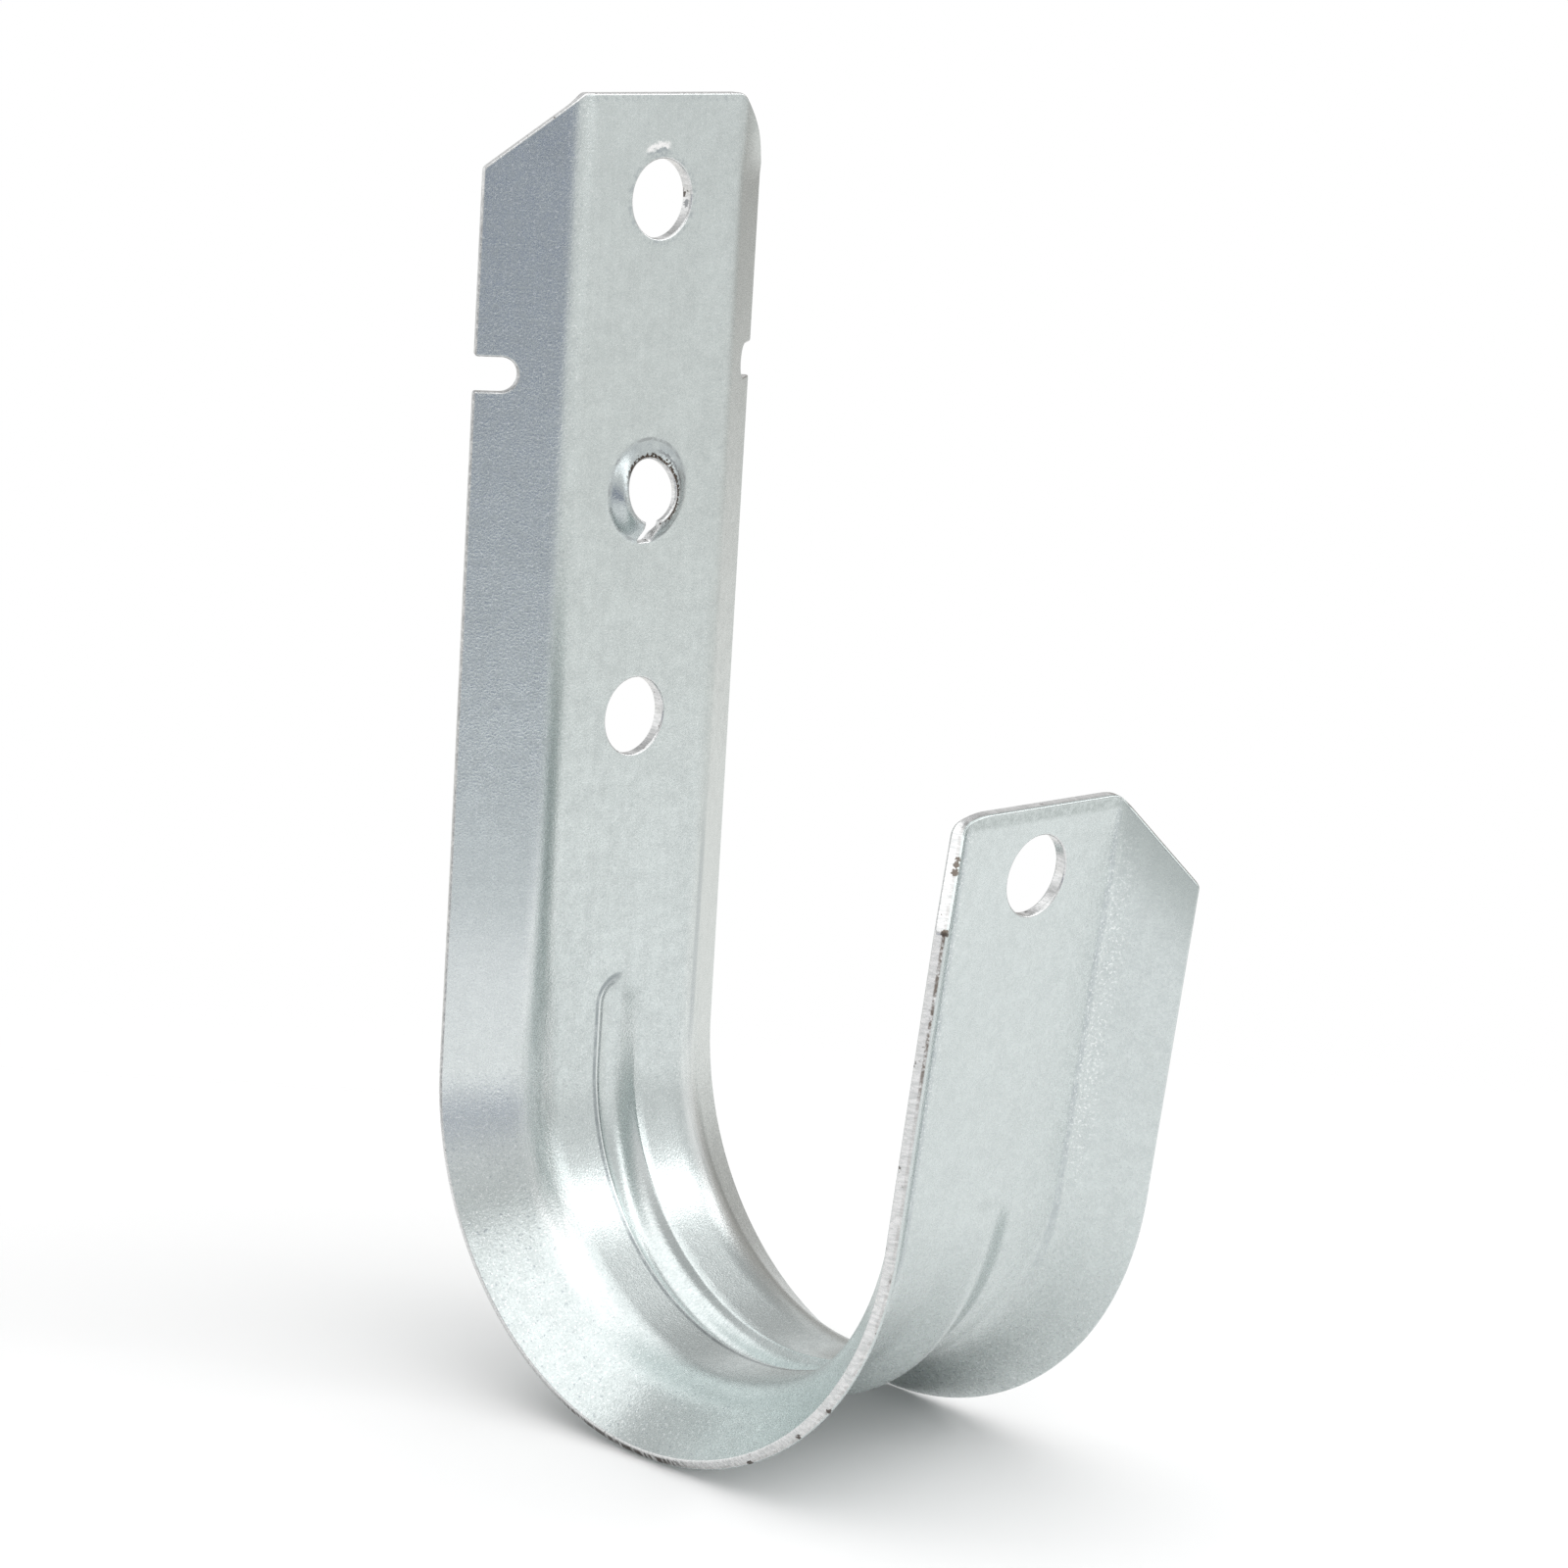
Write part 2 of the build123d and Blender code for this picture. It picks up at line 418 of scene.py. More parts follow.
OVERHEAD_RISE = (0.25, 0.65)
OVERHEAD = 0.6
UNDER_RISE = (-0.6, -0.25)
UNDER = 0.15
UNDER_BEHIND = (0.25, 0.5)
WHITE = (1.0, 1.0, 1.0, 1.0)
BACKDROP_SPREAD = (0.85, 0.95)
BACKDROP_RISE = (0.12, 0.3)

# Lamps, in metres: name, place, aim, sides and radiance
LAMPS = (
    ("top", (0.0, -0.2, 0.95), (0.0, -0.03, -0.05), (1.8, 1.8), 1.12),
    ("front", (0.23, -0.58, 0.19), (0.0, -0.02, -0.05), (0.30, 0.26), 1.3),
    ("key", (0.41, -0.36, 0.265), (0.0, -0.02, -0.05), (0.30, 0.14), 2.45),
    ("side", (0.60, -0.14, 0.25), (0.0, -0.02, -0.05), (0.14, 0.16), 2.4),
)

# Camera, fitted to the photograph: place in metres, turn in degrees, lens and sensor in mm
CAMERA_PLACE = (-0.2973171, -0.3101692, 0.0609194)
CAMERA_TURN = (78.1219, -3.4175, -45.0519)
CAMERA_LENS = 109.838
CAMERA_SENSOR = 36.0
CAMERA_NEAR = 0.01


def smooth_step(t):
    """Smooth rise from zero at t = 0 to one at t = 1."""
    t = np.clip(t, 0.0, 1.0)
    return t * t * (3.0 - 2.0 * t)


def soft_floor(v, k):
    """Value above zero, with a soft foot of half-width k."""
    foot = np.clip(v + k, 0.0, 2.0 * k) ** 2 / (4.0 * k)
    return np.where(v > k, v, foot)


def unit(v):
    """Vectors at a length of one."""
    return v / np.maximum(np.linalg.norm(v, axis=-1, keepdims=True), 1e-12)


def fold_sizes(s):
    """Half the web, radius of the folds on the seat side and turn of the flanges, along the strip."""
    opened = smooth_step((s - FOLD_OPENS) / FOLD_OPENING)
    closed = smooth_step((s - FOLD_CLOSES) / FOLD_CLOSING)
    lipward = smooth_step((s - STEM) / (BEND_END - STEM))
    radius = FOLD + (FOLD_SOFT + FOLD_SOFTER * opened) * (1.0 - closed)
    return WEB / 2 + LIP_WIDER * lipward, radius, FLANGE_TURN + LIP_TURN * lipward


def fold_place(u, s, d):
    """Place across the strip and behind the seat face, once the flanges are folded."""
    a = np.abs(u)
    half, radius, full = fold_sizes(s)
    full = full - np.where(u > 0.0, END_OPEN, 0.0) * smooth_step(1.0 - s / END_RUN)
    flat = half - radius * np.tan(full / 2)
    turn = np.clip((a - flat) / radius, 0.0, full)
    run = np.maximum(a - flat - radius * full, 0.0)
    r = radius - d
    x = np.minimum(a, flat) + r * np.sin(turn) + run * np.cos(turn)
    h = radius - r * np.cos(turn) + run * np.sin(turn)
    return np.sign(u) * x, h


def place(u, s, d):
    """Place in the frame of a point of the flat strip at depth d."""
    x, h = fold_place(u, s, d)
    turn = np.clip((s - STEM) / SEAT, 0.0, BEND)
    above = STEM - np.minimum(s, STEM)
    run = np.maximum(s - BEND_END, 0.0)
    r = SEAT + h
    y = BEND_Y + r * np.cos(turn) - run * np.sin(turn)
    z = BEND_Z - r * np.sin(turn) - run * np.cos(turn) + above
    return np.stack([x, y, z], axis=-1)


def bead_depths(u, s):
    """Depth of the bead's groove in the seat face and height of its ridge on the back."""
    past = np.maximum(np.maximum(BEAD_START - s, s - BEAD_END), 0.0)
    q = np.hypot(u, past)
    near_stem = smooth_step((s - BEAD_START) / BEAD_STEM_RUNOUT)
    full = near_stem * smooth_step((BEAD_END - s) / BEAD_LIP_RUNOUT)
    right = smooth_step((u - GROOVE_RIGHT_FROM) / GROOVE_RIGHT_RUN)
    bar = np.sqrt(np.maximum(GROOVE**2 - q**2, 0.0)) - BEAD_LIFT - GROOVE_FALL * np.maximum(q - GROOVE, 0.0)
    sharp = soft_floor(bar, GROOVE_SOFT + GROOVE_SOFTER * right)
    gentle = BEAD_DEPTH * smooth_step(1.0 - q / GROOVE_REACH)
    groove = sharp + (gentle - sharp) * right * (1.0 - GENTLE_LOSS * near_stem)
    ridge = BEAD_DEPTH * smooth_step(1.0 - q / RIDGE_REACH)
    groove_share = GROOVE_SHALLOW + (1.0 - GROOVE_SHALLOW) * full
    ridge_share = RIDGE_SHALLOW + (1.0 - RIDGE_SHALLOW) * full
    return groove * groove_share, ridge * ridge_share


def ring_heights(u, s):
    """Rise of the ring of the screw impression, and how much its rim is thinned from behind."""
    r = np.hypot(u, s - SCREW_AT)
    below = (s - SCREW_AT) / np.maximum(r, RING_CORE)
    rise = RING_RISE + RING_TILT * below - RING_ARCH * (2.0 * below**2 - 1.0)
    ring = rise * smooth_step((RING_FOOT - r) / (RING_FOOT - RING_TOP))
    return ring, RIM_THIN * smooth_step((RIM_THIN_FROM - r) / RIM_THIN_RUN)


def face_depth(u, s, back):
    """Depth of the seat face or of the back face, with the bead and the raised ring."""
    groove, ridge = bead_depths(u, s)
    ring, thinned = ring_heights(u, s)
    if back:
        return THICK + ridge - ring - thinned
    return groove - ring


def face_slopes(u, s, back):
    """Directions on a face along u and along s."""
    def on_face(u, s):
        return place(u, s, face_depth(u, s, back))

    du = on_face(u + SLOPE_STEP, s) - on_face(u - SLOPE_STEP, s)
    ds = on_face(u, s + SLOPE_STEP) - on_face(u, s - SLOPE_STEP)
    return du / (2 * SLOPE_STEP), ds / (2 * SLOPE_STEP)


def face_normal(u, s, back):
    """Direction out of the sheet on a face."""
    du, ds = face_slopes(u, s, back)
    out = unit(np.cross(ds, du))
    return -out if back else out


def rounded(corners):
    """Closed polyline from corners (u, s, radius), with each corner turned on its radius."""
    out = []
    count = len(corners)
    for i, (u, s, radius) in enumerate(corners):
        p = np.array((u, s))
        if radius <= 0:
            out.append(p)
            continue
        a = unit(np.array(corners[i - 1][:2]) - p)
        b = unit(np.array(corners[(i + 1) % count][:2]) - p)
        half = math.acos(max(-1.0, min(1.0, float(a @ b)))) / 2
        reach = radius / math.tan(half)
        centre = p + unit(a + b) * radius / math.sin(half)
        start = p + a * reach - centre
        end = p + b * reach - centre
        t0 = math.atan2(start[1], start[0])
        sweep = (math.atan2(end[1], end[0]) - t0 + math.pi) % (2 * math.pi) - math.pi
        steps = max(ARC_LEAST_STEPS, int(abs(sweep) * radius / ARC_STEP))
        for k in range(steps + 1):
            t = t0 + sweep * k / steps
            out.append(centre + radius * np.array((math.cos(t), math.sin(t))))
    return np.array(out)


def divided(loop, step):
    """Closed polyline with its long sides divided."""
    out = []
    for i in range(len(loop)):
        a, b = loop[i], loop[(i + 1) % len(loop)]
        n = max(1, int(math.ceil(np.linalg.norm(b - a) / step)))
        for k in range(n):
            out.append(a + (b - a) * k / n)
    return np.array(out)


def loop_outward(loop):
    """Direction out of the metal at each point, with the mitre's length. The metal is on the left."""
    ahead = unit(np.roll(loop, -1, axis=0) - loop)
    behind = np.roll(ahead, 1, axis=0)
    n1 = np.stack([ahead[:, 1], -ahead[:, 0]], axis=1)
    n0 = np.stack([behind[:, 1], -behind[:, 0]], axis=1)
    n = unit(n0 + n1)
    return n / np.maximum((n * n1).sum(axis=1, keepdims=True), MITRE_LEAST)


def side_corners(side, stem_corner, lip_corner):
    """Corners (u, s, radius) of one side of the strip, from the top of the stem to the end of the lip."""
    notch = EDGE - NOTCH_DEEP + NOTCH_HALF
    corners = [
        (ROOT, 0.0, stem_corner),
        (EDGE, STEM_CLIP, FLANGE_CORNER),
        (EDGE, NOTCH_AT - NOTCH_HALF, NOTCH_CORNER),
    ]
    for k in range(NOTCH_STEPS + 1):
        t = math.pi * k / NOTCH_STEPS
        corners.append((notch - NOTCH_HALF * math.sin(t), NOTCH_AT - NOTCH_HALF * math.cos(t), 0.0))
    corners += [
        (EDGE, NOTCH_AT + NOTCH_HALF, NOTCH_CORNER),
        (EDGE, TOTAL - LIP_CLIP, FLANGE_CORNER),
        (LIP_ROOT, TOTAL, lip_corner),
    ]
    return [(side * u, s, radius) for u, s, radius in corners]


def outline():
    """Edge of the flat strip, counter-clockwise in (u, s)."""
    right = side_corners(1.0, STEM_CORNER_RIGHT, LIP_CORNER_RIGHT)
    left = side_corners(-1.0, STEM_CORNER_LEFT, LIP_CORNER_LEFT)
    return divided(rounded(right + left[::-1]), OUTLINE_STEP)


def hole_loop(s):
    """Edge of a round hole in the middle of the strip, clockwise in (u, s)."""
    t = -np.linspace(0.0, 2 * math.pi, HOLE_STEPS + 1)[:-1]
    return np.stack([HOLE * np.cos(t), s + HOLE * np.sin(t)], axis=1)


def screw_loop():
    """Edge of the screw hole with its slit, clockwise in (u, s)."""
    lead = math.asin(SLIT_HALF / SCREW_HOLE)
    t = np.linspace(math.pi / 2 - lead, math.pi / 2 + lead - 2 * math.pi, SCREW_STEPS)
    ring = [(SCREW_HOLE * math.cos(k), SCREW_AT + SCREW_HOLE * math.sin(k), 0.0) for k in t]
    ring += [(side * SLIT_HALF, SCREW_AT + SLIT_REACH, SLIT_CORNER) for side in (-1.0, 1.0)]
    return divided(rounded(ring), SCREW_STEP)


def inside(points, loop):
    """Which points lie within a closed loop."""
    x, y = points[:, 0][:, None], points[:, 1][:, None]
    x0, y0 = loop[:, 0][None], loop[:, 1][None]
    x1, y1 = np.roll(loop[:, 0], -1)[None], np.roll(loop[:, 1], -1)[None]
    spans = (y0 > y) != (y1 > y)
    rise = np.where(y1 == y0, 1.0, y1 - y0)
    crossed = spans & (x < (x1 - x0) * (y - y0) / rise + x0)
    return crossed.sum(axis=1) % 2 == 1


def in_metal(points, rims):
    """Which points lie within the first rim and outside the rims of the holes."""
    kept = inside(points, rims[0])
    for rim in rims[1:]:
        kept &= ~inside(points, rim)
    return kept


def gap_to(points, others):
    """Distance from each point to the nearest of the others."""
    out = np.empty(len(points))
    for i in range(0, len(points), GAP_BATCH):
        gap = points[i:i + GAP_BATCH, None, :] - others[None]
        out[i:i + GAP_BATCH] = np.sqrt((gap**2).sum(axis=2).min(axis=1))
    return out


def stepped(stretches):
    """Values through stretches of (start, end, step)."""
    return np.concatenate([np.arange(start, end, step) for start, end, step in stretches])


def grid_points():
    """Points of a grid over the strip, close together where the sheet is bent."""
    flange = np.linspace(GRID_FLANGE_FROM, EDGE - ROUND, GRID_FLANGE_STEPS)[:-1]
    half = np.concatenate([stepped(GRID_ACROSS), flange])
    us = np.concatenate([-half[:0:-1], half])
    ss = np.concatenate([stepped(GRID_STEM), np.linspace(STEM, BEND_END, GRID_BEND_STEPS), stepped(GRID_LIP)])
    u, s = np.meshgrid(us, ss)
    return np.stack([u.ravel(), s.ravel()], axis=1)


def flat_faces(rims):
    """Points of the flat strip, those of the rims first, and the triangles between them."""
    rim_points = np.concatenate(rims)
    grid = grid_points()
    grid = grid[in_metal(grid, rims)]
    grid = grid[gap_to(grid, rim_points) > GRID_GAP]
    flat = np.concatenate([rim_points, grid])
    links, first = [], 0
    for rim in rims:
        n = len(rim)
        links += [(first + k, first + (k + 1) % n) for k in range(n)]
        first += n
    made = delaunay_2d_cdt([tuple(p) for p in flat], links, [], 0, 1e-7, False)
    points = np.array([(p.x, p.y) for p in made[0]])
    if len(points) != len(flat):
        raise RuntimeError("the flat strip was cut into other points")
    tris = np.array(made[2])
    return points, tris[in_metal(points[tris].mean(axis=1), rims)]


def worked(flats):
    """How much the zinc coat is broken up: most along the folds, little on the stem's web."""
    a, s = np.abs(flats[:, 0]), flats[:, 1]
    fold = np.exp(-((a - WEB / 2) / WORK_FOLD_REACH) ** 2)
    flange = smooth_step((a - WEB / 2) / WORK_FLANGE_RUN)
    lip = smooth_step((s - FOLD_CLOSES) / FOLD_CLOSING)
    bend = smooth_step((s - FOLD_OPENS) / FOLD_OPENING) * (1.0 - lip)
    work = WORK_WEB - WORK_LIP_LESS * lip + WORK_BEND * bend
    work = work + WORK_FLANGE * flange * (1.0 - WORK_FLANGE_LIP_LESS * lip)
    work = work + fold * (WORK_FOLD + WORK_FOLD_BEND * bend)
    return np.clip(work, 0.0, 1.0)


class Skin:
    """Points of the hook's mesh, added a row at a time."""

    def __init__(self):
        self.rows = []
        self.count = 0

    def add(self, u, s, d, marked_depth, normal, edge=0.0, rim=0.0):
        """Add points of the flat strip at depth d, marked for the material. Gives their numbers."""
        n = len(u)
        flat = np.stack([u, s, np.broadcast_to(marked_depth, n)], axis=1)
        self.rows.append((place(u, s, d), normal, flat, np.full(n, edge), np.full(n, rim)))
        self.count += n
        return np.arange(self.count - n, self.count)

    def joined(self):
        """Places, normals, flat places, edge marks and rim marks of all points."""
        return [np.concatenate(column) for column in zip(*self.rows)]


def edge_rows():
    """Rows down a cut edge: share of the way to the back face, and turn from the face to the wall."""
    quarter = math.pi / 2
    turns = [quarter * k / ROUND_STEPS for k in range(1, ROUND_STEPS + 1)]
    seat = [(0.0, turn) for turn in turns]
    wall = [(share, quarter) for share in WALL_ROWS]
    back = [(1.0, turn) for turn in reversed(turns)]
    return seat + wall + back


def add_edge(skin, rim, out, mark):
    """Add a cut edge along a rim: rounded at both faces, straight between. Gives its rows of numbers."""
    u, s = rim.T
    away = unit(out)
    seat_depth = face_depth(u, s, False)
    back_depth = face_depth(u, s, True)
    rows = []
    for share, turn in edge_rows():
        back = share > 0.5
        inset = ROUND * (1.0 - math.cos(turn))
        d = seat_depth + inset + (back_depth - seat_depth - 2 * inset) * share
        du, ds = face_slopes(u, s, back)
        across = unit(du * away[:, :1] + ds * away[:, 1:])
        normal = unit(across * math.sin(turn) + face_normal(u, s, back) * math.cos(turn))
        edge_u, edge_s = (rim + out * ROUND * math.sin(turn)).T
        rows.append(skin.add(edge_u, edge_s, d, d, normal, 1.0, mark))
    return rows


def outward(faces, places, normals):
    """Faces with their corners in the order that looks outward, as the first of them shows."""
    a, b, c = places[faces[0][:3]]
    turned = np.cross(b - a, c - a) @ normals[faces[0][0]] < 0
    return faces[:, ::-1] if turned else faces


def hook_mesh():
    """Mesh of the folded strip: seat face, back face and cut edges."""
    loops = [outline(), screw_loop()] + [hole_loop(s) for s in HOLES_AT]
    outs = [loop_outward(loop) for loop in loops]
    rims = [loop - ROUND * out for loop, out in zip(loops, outs)]
    points, tris = flat_faces(rims)
    u, s = points.T
    skin = Skin()
    seat_ids = skin.add(u, s, face_depth(u, s, False), 0.0, face_normal(u, s, False))
    back_ids = skin.add(u, s, face_depth(u, s, True), THICK, face_normal(u, s, True))

    quads, first = [], 0
    for rim, out in zip(rims, outs):
        on_rim = slice(first, first + len(rim))
        rows = add_edge(skin, rim, out, 1.0 if first == 0 else 0.0)
        rows = [seat_ids[on_rim]] + rows + [back_ids[on_rim]]
        for a, b in zip(rows[:-1], rows[1:]):
            quads.append(np.stack([a, b, np.roll(b, -1), np.roll(a, -1)], axis=1))
        first += len(rim)

    places, normals, flats, edges, rim_marks = skin.joined()
    tris = outward(tris, places, normals)
    quads = outward(np.concatenate(quads), places, normals)
    faces = tris.tolist() + back_ids[tris[:, ::-1]].tolist() + quads.tolist()
    mesh = bpy.data.meshes.new("hook")
    mesh.from_pydata((places * MM).tolist(), [], faces)
    mesh.validate()
    mesh.shade_smooth()
    mesh.attributes.new("flat", "FLOAT_VECTOR", "POINT").data.foreach_set("vector", flats.ravel())
    for name, values in (("edge", edges), ("rim", rim_marks), ("worked", worked(flats))):
        mesh.attributes.new(name, "FLOAT", "POINT").data.foreach_set("value", values)
    mesh.normals_split_custom_set_from_vertices(normals.tolist())
    return mesh


class Nodes:
    """Nodes of one tree. What goes in is a socket or a plain value, and what comes out is a socket."""

    def __init__(self, tree):
        self.tree = tree

    def add(self, kind, **settings):
        node = self.tree.nodes.new(kind)
        for name, value in settings.items():
            setattr(node, name, value)
        return node

    def feed(self, socket, value):
        if isinstance(value, bpy.types.NodeSocket):
            self.tree.links.new(value, socket)
        else:
            socket.default_value = value

    def math(self, operation, *values, clamp=False):
        node = self.add("ShaderNodeMath", operation=operation, use_clamp=clamp)
        for socket, value in zip(node.inputs, values):
            self.feed(socket, value)
        return node.outputs[0]

    def plus(self, a, b, clamp=False):
        return self.math("ADD", a, b, clamp=clamp)

    def minus(self, a, b):
        return self.math("SUBTRACT", a, b)

    def most(self, a, b):
        return self.math("MAXIMUM", a, b)

    def times(self, *factors):
        product = factors[0]
        for factor in factors[1:]:
            product = self.math("MULTIPLY", product, factor)
        return product

    def ramp(self, value, low, high, bottom=0.0, top=1.0):
        """Smooth step of a value from bottom at low to top at high."""
        node = self.add("ShaderNodeMapRange", interpolation_type="SMOOTHSTEP")
        names = ("Value", "From Min", "From Max", "To Min", "To Max")
        for name, number in zip(names, (value, low, high, bottom, top)):
            self.feed(node.inputs[name], number)
        return node.outputs[0]

    def fall(self, value, low, high, bottom=0.0):
        """Smooth step of a value from one at low to bottom at high."""
        return self.ramp(value, low, high, 1.0, bottom)

    def window(self, value, start, full, fade, end):
        """One between full and fade, and zero before start and after end."""
        return self.times(self.ramp(value, start, full), self.fall(value, fade, end))

    def band(self, value, middle, half):
        """One at the middle of a band, falling to zero at its edges."""
        gap = self.math("ABSOLUTE", self.minus(value, middle))
        return self.fall(gap, BAND_CORE * half, half)

    def mix(self, factor, a, b, mode="MIX"):
        """Mix of two colours."""
        node = self.add("ShaderNodeMix", data_type="RGBA", blend_type=mode)
        for socket, value in zip((node.inputs[0], node.inputs[6], node.inputs[7]), (factor, a, b)):
            self.feed(socket, value)
        return node.outputs[2]

    def scaled(self, tone, factor):
        """Colour times a grey factor."""
        return self.mix(1.0, tone, factor, "MULTIPLY")

    def vector(self, operation, a, b, output):
        node = self.add("ShaderNodeVectorMath", operation=operation)
        self.feed(node.inputs[0], a)
        self.feed(node.inputs[1], b)
        return node.outputs[output]

    def noise(self, vector, scale, detail, roughness, stretch=(1.0, 1.0, 1.0)):
        """Noise value over a vector."""
        spread = self.add("ShaderNodeMapping")
        self.feed(spread.inputs["Vector"], vector)
        self.feed(spread.inputs["Scale"], stretch)
        node = self.add("ShaderNodeTexNoise")
        values = {"Vector": spread.outputs[0], "Scale": scale, "Detail": detail, "Roughness": roughness}
        for name, value in values.items():
            self.feed(node.inputs[name], value)
        return node.outputs["Fac"]


class SheetNodes(Nodes):
    """Nodes of the sheet's material, with the places on the strip and the noises that its marks share."""

    def __init__(self, tree):
        super().__init__(tree)
        self.flat = self.attribute("flat", "Vector")
        self.edge = self.attribute("edge", "Fac")
        self.rim = self.attribute("rim", "Fac")
        parts = self.add("ShaderNodeSeparateXYZ")
        self.feed(parts.inputs[0], self.flat)
        self.across, self.along, self.depth = parts.outputs
        self.side = self.math("ABSOLUTE", self.across)
        self.seat_side = self.fall(self.depth, *SHEET_MIDDLE)
        self.back_side = self.ramp(self.depth, *SHEET_MIDDLE)
        self.grain = self.over_flat(GRAIN_NOISE)
        self.mottle = self.over_flat(MOTTLE_NOISE)
        self.fleck = self.over_flat(FLECK_NOISE)
        self.torn = self.over_flat(TORN_NOISE)

    def attribute(self, name, output):
        return self.add("ShaderNodeAttribute", attribute_name=name).outputs[output]

    def over_flat(self, noise):
        return self.noise(self.flat, *noise)

    def reach_from(self, s):
        """Distance on the flat strip from a point on its middle line."""
        on_face = self.vector("MULTIPLY", self.flat, (1.0, 1.0, 0.0), "Vector")
        return self.vector("DISTANCE", on_face, (0.0, s, 0.0), "Value")


def zinc_coat(n):
    """Colour of the plain coat, height of its grain, and how stirred up the coat is."""
    tone = n.mix(n.ramp(n.grain, *WIDE), GRAIN_DARK, GRAIN_PALE)
    tone = n.scaled(tone, n.ramp(n.mottle, *WIDE, *MOTTLE_TONE))
    tone = n.scaled(tone, n.ramp(n.over_flat(CLOUD_NOISE), *MIDDLE, *CLOUD_TONE))
    tone = n.scaled(tone, n.ramp(n.over_flat(ROLL_NOISE), *MIDDLE, *ROLL_TONE))
    flange = n.times(n.ramp(n.side, *CALM_FLANGE_SIDE), n.window(n.along, *CALM_FLANGE_ALONG))
    calm = n.times(n.most(flange, n.ramp(n.along, *CALM_LIP_ALONG, 0.0, CALM_LIP)), CALM)
    tone = n.mix(calm, tone, GRAIN_MEAN)
    stirred = n.minus(1.0, calm)
    work = n.times(n.attribute("worked", "Fac"), stirred)
    flecked = n.times(n.ramp(n.fleck, *FLECK_LEVELS), work)
    tone = n.mix(flecked, tone, FLECK_AND_HIGHLIGHT)
    pitted = n.times(n.ramp(n.over_flat(PIT_NOISE), *PIT_LEVELS), work)
    tone = n.mix(pitted, tone, PIT_AND_SHADE)
    dots = n.times(n.ramp(n.over_flat(DOT_NOISE), *DOT_LEVELS), DOT_STRENGTH)
    tone = n.mix(dots, tone, PIT_DARK_AND_SHADE)
    height = n.plus(n.grain, n.times(n.mottle, BUMP_MOTTLE))
    height = n.plus(height, n.times(flecked, BUMP_FLECK))
    height = n.minus(height, n.times(pitted, BUMP_PIT))
    return tone, height, stirred


def lip_flecks_and_shade(n, tone):
    """Marks on the back of the lip: painted shade as a dark line on its folds, flecks on them, and painted
    shade at a clipped corner.
    """
    # Painted shade: a dark line along the folds of the lip
    line = n.times(n.band(n.side, *LIP_FOLD_BAND), n.ramp(n.along, *LIP_FOLD_ALONG), n.back_side)
    tone = n.mix(n.times(line, n.ramp(n.mottle, *MIDDLE, *LIP_FOLD_STRENGTH)), tone, PIT_AND_SHADE)
    flecks = n.times(n.band(n.side, *LIP_FLECK_BAND), n.ramp(n.along, *LIP_FLECK_ALONG), n.back_side)
    flecks = n.times(flecks, n.ramp(n.fleck, *LIP_FLECK_LEVELS), LIP_FLECK_STRENGTH)
    tone = n.mix(flecks, tone, BURNISH_AND_HIGHLIGHT)
    # Painted shade at the right clipped corner
    past_clip = n.plus(n.along, n.times(n.across, CLIP_SLOPE))
    shaded = n.times(n.ramp(past_clip, *CLIP_SHADE), n.ramp(n.across, *CLIP_SHADE_ACROSS), n.back_side)
    return n.mix(n.times(shaded, CLIP_SHADE_STRENGTH), tone, SHADE)


def bend_highlights_and_shade(n, tone):
    """Painted highlights on the seat side of the bend: on the folds, over real rubbing there, on the left
    flange and on the groove's wall; and a painted dark line of shade on the right fold.
    """
    streak = n.over_flat(STREAK_NOISE)
    # Painted highlight on the folds, over real rubbing
    both_sides = n.most(n.ramp(n.across, *RUBBED_HIGHLIGHT_LEFT), n.ramp(n.along, *RUBBED_HIGHLIGHT_RIGHT_ALONG, *RUBBED_HIGHLIGHT_RIGHT))
    folds = n.times(n.band(n.side, *RUBBED_HIGHLIGHT_FOLD_BAND), n.window(n.along, *RUBBED_HIGHLIGHT_FOLD_ALONG), both_sides)
    folds = n.times(folds, n.seat_side, n.ramp(streak, *STREAK_LEVELS, *RUBBED_HIGHLIGHT_FOLD_STRENGTH))
    tone = n.mix(folds, tone, BURNISH_AND_HIGHLIGHT)
    # Painted highlight on the left fold, over real scuffs
    left_fold = n.times(n.band(n.across, *LEFT_FOLD_BAND), n.window(n.along, *LEFT_FOLD_ALONG), n.seat_side)
    left_fold = n.times(left_fold, n.ramp(streak, *STREAK_LEVELS, *LEFT_FOLD_STRENGTH))
    tone = n.mix(left_fold, tone, PUNCHED_AND_HIGHLIGHT)
    # Painted highlight on the left flange
    flange = n.times(n.ramp(n.across, *LEFT_FLANGE_ACROSS), n.window(n.along, *LEFT_FLANGE_ALONG))
    tone = n.mix(n.times(flange, n.seat_side, LEFT_FLANGE_STRENGTH), tone, BURNISH_AND_HIGHLIGHT)
    # Painted highlight on the groove's right wall
    groove = n.times(n.band(n.across, *GROOVE_WALL_BAND), n.window(n.along, *GROOVE_WALL_ALONG))
    tone = n.mix(n.times(groove, n.seat_side, GROOVE_WALL_STRENGTH), tone, BURNISH_AND_HIGHLIGHT)
    # Painted shade: a dark line on the right fold
    right_fold = n.times(n.band(n.across, *RIGHT_FOLD_BAND), n.window(n.along, *RIGHT_FOLD_ALONG))
    return n.mix(n.times(right_fold, n.seat_side, RIGHT_FOLD_STRENGTH), tone, PIT_AND_SHADE)


